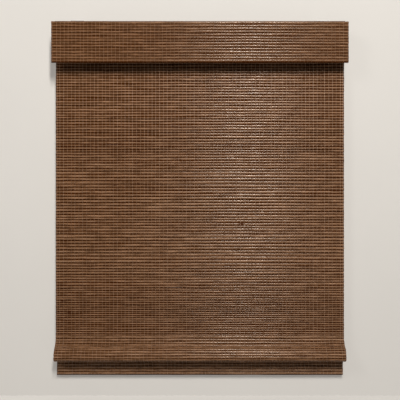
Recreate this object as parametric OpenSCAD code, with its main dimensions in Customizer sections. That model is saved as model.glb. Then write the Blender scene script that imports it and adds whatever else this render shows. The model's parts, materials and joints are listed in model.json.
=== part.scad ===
// Bamboo roman shade for mounting inside a window. A woven reed panel hangs from the back
// of a sprung headrail and ends in one soft fold and a weighted hem. A flat reed valance
// hangs on the front of the headrail. Sizes are millimetres.
// X runs along the headrail, Y into the window and Z up. The origin is the middle of the
// four ceiling screw holes, in the plane where the brackets meet the lintel.

/* [Shade] */
// Width of the woven panel and of the hem
shade_w = 900; // [700:10:1400]
// Height from the lintel to the bottom of the hem
drop = 1100; // [800:10:1800]
// Gap between the lintel and the top edge of the panel
panel_top_gap = 6; // [4:0.5:10]
// Height of the valance
valance_h = 125; // [100:1:170]
// How far the valance reaches past the panel at each end
valance_over = 4; // [0:0.5:8]
// Gap between the lintel and the top edge of the valance
valance_top_gap = 4; // [2:0.5:8]
// Height of the double layer at the bottom of the valance
valance_turn_up = 26; // [15:1:45]

/* [Reeds] */
// Distance from one reed to the next
reed_pitch = 8.7; // [7:0.1:11]
// Open gap between two reeds
reed_gap = 2; // [1:0.1:2.4]
// Thickness of a reed
reed_t = 1.8; // [1.4:0.1:2.2]
// Width of the slope along each edge of a reed
reed_slope = 1.6; // [1:0.1:2]
// Thickness of the thread web between reeds
web_t = 0.6; // [0.4:0.1:0.8]
// Width of the closed edge at each side of the panel
selvage_w = 12; // [8:1:24]
// Radius of the corners where a double layer turns round its bottom reed
corner_r = 1.2; // [1:0.1:1.4]

/* [Bottom fold] */
// How far the fold stands in front of the panel
fold_forward = 36; // [20:1:45]
// Steepest lean of the fold, in degrees from upright
fold_lean = 60; // [40:1:70]
// Radius of the turn at the bottom of the fold
fold_turn_r = 11; // [9:0.5:16]
// Length of the straight stretch that climbs behind the fold
fold_climb = 30; // [20:1:40]
// Slope of that stretch, in degrees from level
fold_climb_deg = 60; // [50:1:75]
// Radius of the crest where the panel turns down into the hem
fold_crest_r = 9; // [8:0.5:14]
// Length of the straight stretch from the crest down to the hem
fold_tail = 34; // [20:1:60]

/* [Hem] */
// Height of the hem
hem_h = 44; // [35:1:70]
// Distance from the top edge of the hem down to its weight bar
hem_bar_below = 8; // [6:0.5:15]
// How much shorter than the hem the weight bar is at each end
hem_bar_inset = 4; // [2:0.5:12]
// Wire radius of a cord eye on the weight bar
eye_wire_r = 0.9; // [0.6:0.05:1.1]
// Ring radius of a cord eye, to the middle of its wire
eye_r = 2.8; // [2:0.1:4]
// Depth of an eye's stem in the weight bar
eye_stem = 8; // [5:0.5:12]

/* [Headrail] */
// Depth of the headrail, from front to back
rail_d = 42; // [38:0.5:60]
// Height of the headrail
rail_h = 38; // [36:0.5:50]
// Wall of the headrail
rail_t = 1.2; // [0.8:0.1:2]
// Length of the inturned lips along the top of the headrail
rail_lip = 6; // [4:0.5:8]
// How much shorter than the panel the headrail is at each end
rail_inset = 6; // [3:0.5:20]
// Thickness of an end cap outside the headrail
cap_t = 2; // [1.5:0.1:4]
// Depth of an end cap's plug
cap_plug = 9; // [7:0.5:15]

/* [Brackets] */
// Distance from a side of the panel to the middle of a bracket
bracket_inset = 75; // [50:1:120]
// Length of a bracket along the headrail
bracket_len = 40; // [25:1:60]
// Sheet thickness of a bracket
bracket_t = 1.5; // [1:0.1:2]
// Distance between a bracket's two screw holes
screw_pitch = 14; // [11:0.5:16]
// Radius of a screw hole
screw_r = 2.25; // [1.5:0.05:2.5]

/* [Fixing tapes] */
// Height of the hook and loop tapes
tape_h = 20; // [12:1:25]
// Thickness of one tape
tape_t = 1; // [0.8:0.1:2]
// Gap between the lintel and the top of the tapes
tape_top_gap = 10; // [8:0.5:14]

/* [Lift] */
// Distance from a side of the panel to the outer cord line
cord_inset = 150; // [125:1:170]
// Radius of a cord drum where the cord winds
drum_r = 13; // [10:0.5:13.5]
// Length of the winding on a cord drum
drum_len = 22; // [14:1:40]
// Height of a drum's flanges above the winding
drum_flange = 2.5; // [1.5:0.1:2.5]
// Thickness of a drum's flanges at the rim
drum_rim = 1.5; // [1:0.1:3]
// Radius of a bearing journal
journal_r = 5; // [4.5:0.1:6]
// Length of a bearing journal
journal_len = 6; // [5:0.5:10]
// Width across the flats of the hexagonal lift shaft
shaft_af = 6; // [5:0.1:6.5]
// Wall thickness of the moulded cradles and of the spring housing
moulding_t = 3; // [2.5:0.1:5]
// Thickness of a cradle's base
cradle_base_t = 1.2; // [0.8:0.1:1.8]
// Width of a cradle's wall beside the journal, at the top
cradle_shoulder = 3; // [2:0.5:6]
// How far the mouth of a cradle's seat closes over the journal
snap_bite = 0.4; // [0.2:0.05:0.6]
// Height and length of the collar on a shaft bush
bush_collar = 2; // [1:0.5:4]
// Distance of the spring motor from the middle cord line
motor_x = 120; // [60:5:140]
// Length of the spring motor's housing
motor_len = 40; // [25:1:60]
// Thinnest wall round the spring's chamber
chamber_wall = 1.5; // [1:0.1:3]
// Length of the spigot on the motor's cover
cover_spigot = 1; // [0.5:0.1:2]
// How far the arbor stands out of the motor at each end
arbor_over = 2; // [1:0.5:5]
// Number of turns of the motor's spiral spring
spring_turns = 6; // [4:1:7]
// Thickness of the spring strip
spring_t = 0.4; // [0.2:0.05:0.5]

/* [Cord fittings] */
// Radius of the hole through a cord guide
guide_bore_r = 2.5; // [1.5:0.1:3]
// Radius of the hole through an eyelet in the panel
eyelet_bore_r = 3; // [2:0.1:4]
// Height of the eyelets below the lintel
eyelet_drop = 75; // [65:1:85]
// Wall of a guide's or an eyelet's barrel
barrel_t = 1; // [0.6:0.1:1.5]
// Reach of a guide's or an eyelet's flange past its barrel
flange_w = 2.2; // [1.5:0.1:3]
// Thickness of a guide's or an eyelet's flange
flange_t = 0.8; // [0.5:0.1:1.2]
// Ring radius of a lift ring, to the middle of its wire
ring_r = 5.5; // [4:0.1:7]
// Wire radius of a lift ring
ring_wire_r = 1.1; // [0.8:0.05:1.5]
// Distance between two rows of lift rings
ring_row_pitch = 190; // [150:5:200]
// Distance from the lowest ring row up from the start of the fold
ring_above_fold = 10; // [5:1:30]

/* [Fits] */
// Gap between pieces that clip, plug or hang together
seat_gap = 0.3; // [0.2:0.05:0.4]
// Radial gap of a turning journal in its bearing
running_gap = 0.1; // [0.05:0.01:0.1]

/* [Hidden] */
$fn = 64;

bamboo = "saddlebrown";
down = -90;
cord_x = shade_w / 2 - cord_inset;
cord_lines = [-cord_x, 0, cord_x];

// The brackets fill the gap over the headrail
rail_top = -bracket_t - seat_gap;
rail_floor = rail_top - rail_h + rail_t;
rail_len = shade_w - 2 * rail_inset - 2 * cap_t;
lip_edge = rail_d / 2 - rail_t - rail_lip;
bay_w = rail_d - 2 * rail_t;
shaft_z = (rail_floor + rail_top - rail_t) / 2;

// The two mats lie against their tapes, in front of and behind the headrail
mat_offset = rail_d / 2 + 2 * tape_t + reed_t / 2;

// A double layer has whole reeds down its front, one reed across its bottom and a few behind
function whole_reeds(length) = max(1, round(length / reed_pitch));
function bottom_flat(step) = step - PI * corner_r;
function layer_spacing(step) = bottom_flat(step) + 2 * corner_r;

valance_front = valance_h - corner_r - reed_t / 2;
valance_front_reeds = whole_reeds(valance_front);
valance_back_reeds = whole_reeds(valance_turn_up);
valance_step = (valance_front + reed_gap / 2) / valance_front_reeds;

hem_reeds = whole_reeds(hem_h);
hem_step = (hem_h + reed_gap / 2) / hem_reeds;
hem_top = -drop + reed_t / 2 + corner_r + hem_h;
hem_bar_t = layer_spacing(hem_step) - reed_t - 2 * seat_gap;
hem_bar_bottom = -drop + reed_t + seat_gap;
hem_bar_h = hem_top - hem_bar_below - hem_bar_bottom;

// A path is a list of stretches [length, turn in degrees], followed from [y, z, heading]
function arc_len(r, turn) = r * abs(turn) * PI / 180;
function path_len(path, i = 0) = i == len(path) ? 0 : path[i][0] + path_len(path, i + 1);
function advance(p, ds, turn) =
    turn == 0
        ? [p[0] + ds * cos(p[2]), p[1] + ds * sin(p[2]), p[2]]
        : let (r = ds * 180 / (PI * turn), h = p[2] + turn)
          [p[0] + r * (sin(h) - sin(p[2])), p[1] - r * (cos(h) - cos(p[2])), h];
function along(path, s, p, i = 0) =
    i == len(path) - 1 || s <= path[i][0]
        ? advance(p, s, path[i][1] * s / path[i][0])
        : along(path, s - path[i][0], advance(p, path[i][0], path[i][1]), i + 1);

// The fold swings forward, turns under, climbs back and comes down again over a crest
swing_r = fold_forward / (2 * (1 - cos(fold_lean)));
fold_path = [
    [arc_len(swing_r, fold_lean), -fold_lean],
    [arc_len(swing_r, fold_lean), fold_lean],
    [arc_len(fold_turn_r, 90 + fold_climb_deg), 90 + fold_climb_deg],
    [fold_climb, 0],
    [arc_len(fold_crest_r, 90 + fold_climb_deg), -90 - fold_climb_deg],
    [fold_tail, 0]
];
fold_end = along(fold_path, path_len(fold_path), [mat_offset, 0, down]);
fold_top = hem_top + running_gap - fold_end[1];
fold_start = [mat_offset, fold_top, down];
panel_len = -panel_top_gap - fold_top - running_gap;
panel_path = [[panel_len, 0]];
panel_reeds = whole_reeds(panel_len);
panel_start = [mat_offset, -panel_top_gap, down];

// A double layer goes down the front, round its bottom reed and up the back
function double_path(step, front_reeds, back_reeds) = [
    [front_reeds * step - reed_gap / 2, 0],
    [arc_len(corner_r, 90), 90],
    [bottom_flat(step), 0],
    [arc_len(corner_r, 90), 90],
    [back_reeds * step - reed_gap / 2, 0]
];
valance_path = double_path(valance_step, valance_front_reeds, valance_back_reeds);
valance_start = [-mat_offset, -valance_top_gap, down];
hem_path = double_path(hem_step, hem_reeds, hem_reeds);
hem_start = [fold_end[0], hem_top, down];
hem_mid_y = fold_end[0] + layer_spacing(hem_step) / 2;

// Reeds are spread evenly along a path, from its first edge to its last
function reed_step(path, count) = (path_len(path) + reed_gap) / count;
function reed_point(p, u, v) =
    [p[0] + u * cos(p[2]) - v * sin(p[2]), p[1] + u * sin(p[2]) + v * cos(p[2])];
function reed_side(p, width, side) = [
    reed_point(p, -width / 2, side * web_t / 2),
    reed_point(p, -width / 2 + reed_slope, side * reed_t / 2),
    reed_point(p, width / 2 - reed_slope, side * reed_t / 2),
    reed_point(p, width / 2, side * web_t / 2)
];
function mat_side(path, start, count, side) =
    let (step = reed_step(path, count), width = step - reed_gap)
    [for (i = [0 : count - 1])
        each reed_side(along(path, i * step + width / 2, start), width, side)];
function reversed(list) = [for (i = [len(list) - 1 : -1 : 0]) list[i]];

// Turns a section drawn in Y and Z into a solid along X, centred on x = 0
module along_x(length) {
    rotate([90, 0, 90]) linear_extrude(length, center = true) children();
}

// A rod along X that starts at x
module rod_x(x, length, r, fn = $fn) {
    translate([x, 0, 0]) rotate([0, 90, 0]) cylinder(h = length, r = r, $fn = fn);
}

module hexagon_x(x, length, flats) {
    rod_x(x, length, flats / 2 / cos(30), 6);
}

module mirrored(left) {
    mirror([left ? 1 : 0, 0, 0]) children();
}

// Ridged wall of reeds along a path, with the web cut away between gap_from and gap_to
module reed_mat(path, start, count, width, gap_from, gap_to) {
    step = reed_step(path, count);
    difference() {
        along_x(width) polygon(concat(
            mat_side(path, start, count, 1), reversed(mat_side(path, start, count, -1))));
        for (i = [ceil(gap_from / step) : floor(gap_to / step)]) {
            p = along(path, i * step - reed_gap / 2, start);
            translate([0, p[0], p[1]]) rotate([p[2], 0, 0])
                cube([width - 2 * selvage_w, reed_gap * 0.8, reed_t], center = true);
        }
    }
}

// Headrail: a channel that is open along its top, between two inturned lips
module headrail() {
    color("ivory") difference() {
        along_x(rail_len) difference() {
            translate([-rail_d / 2, rail_top - rail_h]) square([rail_d, rail_h]);
            translate([-bay_w / 2, rail_floor]) square([bay_w, rail_h - 2 * rail_t]);
            translate([-lip_edge, rail_floor]) square([2 * lip_edge, rail_h]);
        }
        for (x = cord_lines)
            translate([x, drum_r, rail_floor - rail_t])
                cylinder(h = 3 * rail_t, r = guide_barrel_r + running_gap, center = true);
    }
}

// Plug and outer plate that close one end of the headrail and carry the shaft bush
module end_cap(left) {
    plug_w = bay_w - 2 * seat_gap;
    plug_h = rail_h - 2 * rail_t - 2 * seat_gap;
    color("tan") mirrored(left) translate([rail_len / 2, 0, 0]) difference() {
        union() {
            translate([0, -rail_d / 2, rail_top - rail_h]) cube([cap_t, rail_d, rail_h]);
            translate([-cap_plug, -plug_w / 2, rail_floor + seat_gap]) cube([cap_plug, plug_w, plug_h]);
        }
        translate([0, 0, shaft_z]) rod_x(-cap_plug - 1, cap_plug + 1, journal_r + running_gap);
    }
}
module end_cap_left() { end_cap(true); }
module end_cap_right() { end_cap(false); }

// Ceiling clip: a plate with two legs whose feet hook under the lips of the headrail
module bracket(left) {
    leg = lip_edge - seat_gap;
    foot_top = rail_top - rail_t - seat_gap;
    color("silver") mirrored(left) translate([shade_w / 2 - bracket_inset, 0, 0]) difference() {
        along_x(bracket_len) {
            translate([-rail_d / 2 + rail_t, -bracket_t]) square([bay_w, bracket_t]);
            for (side = [0, 1]) mirror([side, 0]) {
                translate([leg - bracket_t, foot_top - bracket_t]) {
                    square([bracket_t, bracket_t - foot_top]);
                    square([rail_lip, bracket_t]);
                }
            }
        }
        for (y = [-screw_pitch / 2, screw_pitch / 2])
            translate([0, y, -bracket_t / 2]) cylinder(h = 2 * bracket_t, r = screw_r, center = true);
    }
}
module bracket_left() { bracket(true); }
module bracket_right() { bracket(false); }

// Strip of hook and loop tape; layer 0 lies on the headrail and layer 1 on a mat
module tape(side, layer, shade) {
    near = rail_d / 2 + layer * tape_t;
    color(shade) translate([0, side * (near + tape_t / 2), -tape_top_gap - tape_h / 2])
        cube([rail_len, tape_t, tape_h], center = true);
}
module valance_hook_tape() { tape(-1, 0, "white"); }
module valance_loop_tape() { tape(-1, 1, "beige"); }
module shade_hook_tape() { tape(1, 0, "white"); }
module shade_loop_tape() { tape(1, 1, "beige"); }

// Valance: a flat reed mat with its bottom turned up behind it
module valance_mat() {
    count = valance_front_reeds + 1 + valance_back_reeds;
    color(bamboo) reed_mat(valance_path, valance_start, count, shade_w + 2 * valance_over,
        tape_top_gap + tape_h, valance_front - valance_turn_up);
}

// Panel: the long flat stretch of the reed mat, pierced for the eyelets
module shade_mat() {
    color(bamboo) difference() {
        reed_mat(panel_path, panel_start, panel_reeds, shade_w,
            eyelet_drop + 2 * reed_pitch, panel_len - reed_pitch);
        at_eyelets() cylinder(h = 3 * reed_t, r = eyelet_barrel_r + running_gap, center = true);
    }
}

// Soft fold: the stretch of the mat that swings forward below the panel
module fold_mat() {
    color(bamboo) reed_mat(fold_path, fold_start, whole_reeds(path_len(fold_path)), shade_w, 1, 0);
}

// Hem: the end of the mat, wrapped round the weight bar
module hem_mat() {
    color(bamboo) reed_mat(hem_path, hem_start, 2 * hem_reeds + 1, shade_w, 1, 0);
}

// Flat weight bar with a drilled seat for each cord eye
module hem_bar() {
    color("silver") difference() {
        translate([0, hem_mid_y, hem_bar_bottom + hem_bar_h / 2])
            cube([shade_w - 2 * hem_bar_inset, hem_bar_t, hem_bar_h], center = true);
        for (x = cord_lines)
            translate([x, hem_mid_y, hem_bar_bottom + hem_bar_h - eye_stem])
                cylinder(h = eye_stem + 1, r = eye_wire_r + running_gap);
    }
}

// Wire eyes that stand in the weight bar, one on each cord line
module hem_cord_eyes() {
    color("goldenrod") for (x = cord_lines)
        translate([x, hem_mid_y, hem_bar_bottom + hem_bar_h]) {
            translate([0, 0, -eye_stem]) cylinder(h = eye_stem + eye_wire_r, r = eye_wire_r);
            translate([0, 0, eye_r + eye_wire_r]) rotate([90, 0, 0])
                rotate_extrude() translate([eye_r, 0]) circle(eye_wire_r);
        }
}

// Hexagonal lift shaft from bush to bush
module lift_shaft() {
    color("gray") translate([0, 0, shaft_z]) hexagon_x(-rail_len / 2, rail_len, shaft_af);
}

// Bush on one end of the shaft, which turns in the end cap
module shaft_bush(left) {
    color("white") mirrored(left) translate([rail_len / 2 - cap_plug, 0, shaft_z]) difference() {
        union() {
            rod_x(-bush_collar, bush_collar + cap_plug - seat_gap, journal_r);
            rod_x(-bush_collar - seat_gap, bush_collar, journal_r + bush_collar);
        }
        hexagon_x(-2 * bush_collar, cap_plug + 3 * bush_collar, shaft_af + 2 * running_gap);
    }
}
module shaft_bush_left() { shaft_bush(true); }
module shaft_bush_right() { shaft_bush(false); }

// Cord drum: a winding between two flanges, with a journal at each end
module cord_drum(x) {
    half = drum_len / 2;
    rim = half + drum_rim;
    end = rim + journal_len;
    rim_r = drum_r + drum_flange;
    color("whitesmoke") translate([x, 0, shaft_z]) difference() {
        rotate([0, 90, 0]) rotate_extrude() polygon([
            [0, -end], [journal_r, -end], [journal_r, -rim], [rim_r, -rim], [rim_r, -half],
            [drum_r, drum_rim - half], [drum_r, half - drum_rim],
            [rim_r, half], [rim_r, rim], [journal_r, rim], [journal_r, end], [0, end]
        ]);
        hexagon_x(-2 * end, 4 * end, shaft_af + 2 * running_gap);
    }
}
module cord_drum_left() { cord_drum(cord_lines[0]); }
module cord_drum_middle() { cord_drum(cord_lines[1]); }
module cord_drum_right() { cord_drum(cord_lines[2]); }

// Cradle: a base on the headrail's floor with two snap seats for a drum's journals
module drum_cradle(x) {
    wall_x = drum_len / 2 + drum_rim + seat_gap;
    wall_top = shaft_z + journal_r;
    width = bay_w - 2 * seat_gap;
    mouth = 2 * (journal_r - snap_bite);
    shoulder = journal_r + cradle_shoulder;
    color("linen") translate([x, 0, 0]) difference() {
        union() {
            translate([-wall_x - moulding_t, -width / 2, rail_floor])
                cube([2 * (wall_x + moulding_t), width, cradle_base_t]);
            for (side = [0, 1]) mirror([side, 0, 0])
                translate([wall_x, 0, 0]) rotate([90, 0, 90]) linear_extrude(moulding_t)
                    polygon([[-width / 2, rail_floor], [width / 2, rail_floor],
                        [shoulder, wall_top], [-shoulder, wall_top]]);
        }
        translate([0, 0, shaft_z]) rod_x(-2 * wall_x, 4 * wall_x, journal_r + running_gap);
        translate([-2 * wall_x, -mouth / 2, shaft_z]) cube([4 * wall_x, mouth, rail_h]);
        translate([0, drum_r, rail_floor])
            cylinder(h = 4 * cradle_base_t, r = guide_barrel_r + flange_w + seat_gap, center = true);
    }
}
module drum_cradle_left() { drum_cradle(cord_lines[0]); }
module drum_cradle_middle() { drum_cradle(cord_lines[1]); }
module drum_cradle_right() { drum_cradle(cord_lines[2]); }

// Spring motor: a housing with a round chamber, its cover, an arbor and a spiral spring
motor_w = bay_w - 2 * seat_gap;
motor_top = rail_top - rail_t - seat_gap;
motor_h = motor_top - rail_floor;
chamber_r = min(motor_w, motor_h) / 2 - chamber_wall;
chamber_len = motor_len - moulding_t;

module motor_housing() {
    color("dimgray") translate([motor_x, 0, 0]) difference() {
        translate([0, -motor_w / 2, rail_floor]) cube([motor_len, motor_w, motor_h]);
        translate([0, 0, shaft_z]) {
            rod_x(moulding_t, motor_len, chamber_r);
            rod_x(-moulding_t, motor_len, journal_r + running_gap);
        }
    }
}

module motor_cover() {
    color("gray") translate([motor_x + motor_len, 0, 0]) difference() {
        union() {
            translate([0, -motor_w / 2, rail_floor]) cube([moulding_t, motor_w, motor_h]);
            translate([0, 0, shaft_z]) rod_x(-cover_spigot, 2 * cover_spigot, chamber_r - seat_gap);
        }
        translate([0, 0, shaft_z]) rod_x(-moulding_t, 3 * moulding_t, journal_r + running_gap);
    }
}

module motor_arbor() {
    length = motor_len + moulding_t + 2 * arbor_over;
    color("whitesmoke") translate([motor_x - arbor_over, 0, shaft_z]) difference() {
        rod_x(0, length, journal_r);
        hexagon_x(-length, 3 * length, shaft_af + 2 * running_gap);
    }
}

module motor_spring() {
    inner = journal_r + seat_gap;
    outer = chamber_r - spring_t - running_gap;
    turn_points = 20;
    count = spring_turns * turn_points;
    function spiral(extra) = [for (i = [0 : count])
        let (r = inner + (outer - inner) * i / count + extra, a = 360 * i / turn_points)
        [r * cos(a), r * sin(a)]];
    length = chamber_len - cover_spigot - 2 * seat_gap;
    color("slategray") translate([motor_x + moulding_t + seat_gap + length / 2, 0, shaft_z])
        along_x(length) polygon(concat(spiral(0), reversed(spiral(spring_t))));
}

// Flanged tubes along Z: guides in the headrail's floor, eyelets in the panel
guide_barrel_r = guide_bore_r + barrel_t;
eyelet_barrel_r = eyelet_bore_r + barrel_t;

module flanged_tube(bore_r, grip) {
    difference() {
        union() {
            cylinder(h = grip + 2 * flange_t, r = bore_r + barrel_t, center = true);
            for (side = [-1, 1])
                translate([0, 0, side * (grip + flange_t) / 2])
                    cylinder(h = flange_t, r = bore_r + barrel_t + flange_w, center = true);
        }
        cylinder(h = grip + 4 * flange_t, r = bore_r, center = true);
    }
}

module at_eyelets() {
    for (x = cord_lines)
        translate([x, mat_offset, -eyelet_drop]) rotate([90, 0, 0]) children();
}

module cord_guides() {
    color("white") for (x = cord_lines)
        translate([x, drum_r, rail_floor - rail_t / 2]) flanged_tube(guide_bore_r, rail_t);
}

module cord_eyelets() {
    color("goldenrod") at_eyelets() flanged_tube(eyelet_bore_r, reed_t);
}

// Rows of rings on the back of the panel, counted from the top, each on the nearest reed
module ring_row(row) {
    rows_below = 5 - row;
    step = reed_step(panel_path, panel_reeds);
    reeds_above = floor((panel_len - ring_above_fold - rows_below * ring_row_pitch) / step);
    z = -panel_top_gap - (reeds_above + 0.5) * step + reed_gap / 2;
    y = mat_offset + reed_t / 2 + seat_gap + ring_r + ring_wire_r;
    color("white") for (x = cord_lines)
        translate([x, y, z]) rotate_extrude() translate([ring_r, 0]) circle(ring_wire_r);
}
module ring_row_1() { ring_row(1); }
module ring_row_2() { ring_row(2); }
module ring_row_3() { ring_row(3); }
module ring_row_4() { ring_row(4); }
module ring_row_5() { ring_row(5); }

headrail();
end_cap_left();
end_cap_right();
bracket_left();
bracket_right();
valance_mat();
valance_hook_tape();
valance_loop_tape();
shade_mat();
fold_mat();
shade_hook_tape();
shade_loop_tape();
lift_shaft();
shaft_bush_left();
shaft_bush_right();
cord_drum_left();
cord_drum_middle();
cord_drum_right();
drum_cradle_left();
drum_cradle_middle();
drum_cradle_right();
motor_housing();
motor_cover();
motor_arbor();
motor_spring();
cord_guides();
cord_eyelets();
ring_row_1();
ring_row_2();
ring_row_3();
ring_row_4();
ring_row_5();
hem_mat();
hem_bar();
hem_cord_eyes();
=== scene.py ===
"""Dresses a bamboo roman shade: woven reed mats, headrail, lift parts, light and camera."""

from __future__ import annotations

import json
import logging
import math
import random
from dataclasses import dataclass, field
from enum import Enum
from typing import Sequence

import bpy
import numpy as np
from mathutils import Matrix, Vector

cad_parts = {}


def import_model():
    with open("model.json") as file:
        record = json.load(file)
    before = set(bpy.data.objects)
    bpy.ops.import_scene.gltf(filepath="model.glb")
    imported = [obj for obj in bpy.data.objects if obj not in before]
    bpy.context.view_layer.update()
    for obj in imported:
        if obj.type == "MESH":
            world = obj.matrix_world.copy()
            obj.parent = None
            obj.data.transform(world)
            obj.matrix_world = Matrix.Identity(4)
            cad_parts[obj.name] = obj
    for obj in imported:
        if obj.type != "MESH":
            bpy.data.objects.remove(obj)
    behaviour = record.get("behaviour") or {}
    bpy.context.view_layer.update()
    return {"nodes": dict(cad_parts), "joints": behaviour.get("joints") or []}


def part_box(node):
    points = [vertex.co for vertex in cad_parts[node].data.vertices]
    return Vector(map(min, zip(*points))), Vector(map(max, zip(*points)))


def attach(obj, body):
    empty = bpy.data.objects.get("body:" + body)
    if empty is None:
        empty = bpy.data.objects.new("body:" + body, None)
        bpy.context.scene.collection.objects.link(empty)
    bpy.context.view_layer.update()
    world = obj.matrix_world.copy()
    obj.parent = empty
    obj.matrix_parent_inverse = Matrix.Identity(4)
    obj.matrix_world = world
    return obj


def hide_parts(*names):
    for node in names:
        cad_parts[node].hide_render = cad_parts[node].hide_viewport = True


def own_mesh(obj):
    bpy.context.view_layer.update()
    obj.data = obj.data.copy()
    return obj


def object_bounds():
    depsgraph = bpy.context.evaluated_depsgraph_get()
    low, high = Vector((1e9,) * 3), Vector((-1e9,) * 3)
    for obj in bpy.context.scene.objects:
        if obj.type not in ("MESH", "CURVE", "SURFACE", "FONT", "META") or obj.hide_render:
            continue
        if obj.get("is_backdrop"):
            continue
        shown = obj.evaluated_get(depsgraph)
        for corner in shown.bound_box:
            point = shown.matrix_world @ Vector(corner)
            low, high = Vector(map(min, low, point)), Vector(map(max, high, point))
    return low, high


Colour = tuple[float, float, float]
Triple = tuple[float, float, float]
Range = tuple[float, float]
Size = tuple[float, float]

LOG = logging.getLogger("roman_shade")

# Lengths are in metres, angles in radians. A turn below STRAIGHT counts as none.
MM = 0.001
QUARTER_TURN = math.pi / 2
WHOLE_TURN = 2 * math.pi
DOWN = -QUARTER_TURN
STRAIGHT = 1e-9
SMOOTH_ANGLE = math.radians(60)
ROD_LENGTH = 1.0
UNMOVED: Triple = (0.0, 0.0, 0.0)
EVEN: Triple = (1.0, 1.0, 1.0)
UNIT: Range = (0.0, 1.0)

# The colour sockets of a Mix node, which share their names with its other sockets.
MIX_FIRST, MIX_SECOND, MIX_RESULT = 6, 7, 2


class Side(Enum):
    """The face of a mat that something lies on, as a sign across the mat."""

    FRONT = -1
    BACK = 1


class BrushAxis(Enum):
    """The direction that a metal was drawn or brushed in."""

    ALONG_X = (1.0, 40.0, 40.0)
    ROUND_X = (40.0, 1.0, 1.0)


class TapeFace(Enum):
    """The two halves of a hook and loop tape."""

    HOOK = "hook"
    LOOP = "loop"


# Objects


def deselect_all() -> None:
    """Leaves object mode with nothing selected."""
    if bpy.context.object and bpy.context.object.mode != "OBJECT":
        bpy.ops.object.mode_set(mode="OBJECT")
    bpy.ops.object.select_all(action="DESELECT")


def make_active(obj: bpy.types.Object) -> None:
    """Selects one object alone and makes it the active one.

    Args:
        obj: The object.
    """
    deselect_all()
    obj.select_set(True)
    bpy.context.view_layer.objects.active = obj


def select_none(mode: str) -> None:
    """Clears the active mesh's selection.

    Args:
        mode: What is selected in it from now on: VERT, EDGE or FACE.
    """
    bpy.ops.object.mode_set(mode="EDIT")
    bpy.ops.mesh.select_mode(type=mode)
    bpy.ops.mesh.select_all(action="DESELECT")
    bpy.ops.object.mode_set(mode="OBJECT")


def settled() -> bpy.types.Object:
    """Applies a new primitive's place and turn to its mesh, and returns it."""
    bpy.ops.object.transform_apply(location=True, rotation=True, scale=True)
    return bpy.context.object


def copy_of(source: bpy.types.Object) -> bpy.types.Object:
    """Copies an object together with its mesh.

    Args:
        source: The object.

    Returns:
        The copy.
    """
    twin = source.copy()
    twin.data = source.data.copy()
    bpy.context.collection.objects.link(twin)
    return twin


def discard(obj: bpy.types.Object) -> None:
    """Removes a pattern object that its copies have replaced."""
    bpy.data.objects.remove(obj, do_unlink=True)


def join(objects: Sequence[bpy.types.Object], name: str) -> bpy.types.Object:
    """Joins objects into one piece.

    Args:
        objects: The objects to join, none of which is used afterwards.
        name: The piece's name.

    Returns:
        The joined piece.
    """
    deselect_all()
    for obj in objects:
        obj.select_set(True)
    bpy.context.view_layer.objects.active = objects[0]
    bpy.ops.object.join()
    piece = bpy.context.object
    piece.name = name
    piece.data.name = name
    return piece


def points_of(obj: bpy.types.Object) -> np.ndarray:
    """Reads an object's mesh points.

    Args:
        obj: The object.

    Returns:
        Rows of x, y and z.
    """
    points = np.empty(len(obj.data.vertices) * 3)
    obj.data.vertices.foreach_get("co", points)
    return points.reshape(-1, 3)


def set_points(obj: bpy.types.Object, points: np.ndarray) -> None:
    """Moves an object's mesh points to rows of x, y and z."""
    obj.data.vertices.foreach_set("co", points.ravel())
    obj.data.update()


def set_value(obj: bpy.types.Object, name: str, values: np.ndarray | float) -> None:
    """Stores a number at each mesh point, for a material to read.

    Args:
        obj: The object.
        name: The attribute's name.
        values: One number for each point, or one for all of them.
    """
    layer = obj.data.attributes.get(name) or obj.data.attributes.new(name, "FLOAT", "POINT")
    count = len(obj.data.vertices)
    spread = np.broadcast_to(np.asarray(values, dtype=float), (count,))
    layer.data.foreach_set("value", spread.copy())


def value_of(obj: bpy.types.Object, name: str) -> np.ndarray:
    """Reads the number that is stored at each mesh point.

    Args:
        obj: The object.
        name: The attribute's name.

    Returns:
        One number for each point.
    """
    values = np.empty(len(obj.data.vertices))
    obj.data.attributes[name].data.foreach_get("value", values)
    return values


def dress(obj: bpy.types.Object, material: bpy.types.Material) -> None:
    """Gives an object one material in place of those that it has."""
    obj.data.materials.clear()
    obj.data.materials.append(material)


# Shader nodes


def rgba(colour: Colour) -> tuple[float, float, float, float]:
    """Adds full opacity to a colour."""
    return (*colour, 1.0)


def shaded(colour: Colour, factor: float) -> tuple[float, float, float, float]:
    """Makes a colour lighter or darker."""
    return rgba(tuple(min(1.0, part * factor) for part in colour))


def around(middle: float, swing: Range) -> Range:
    """Returns the range that lies about a value."""
    return (middle + swing[0], middle + swing[1])


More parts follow.
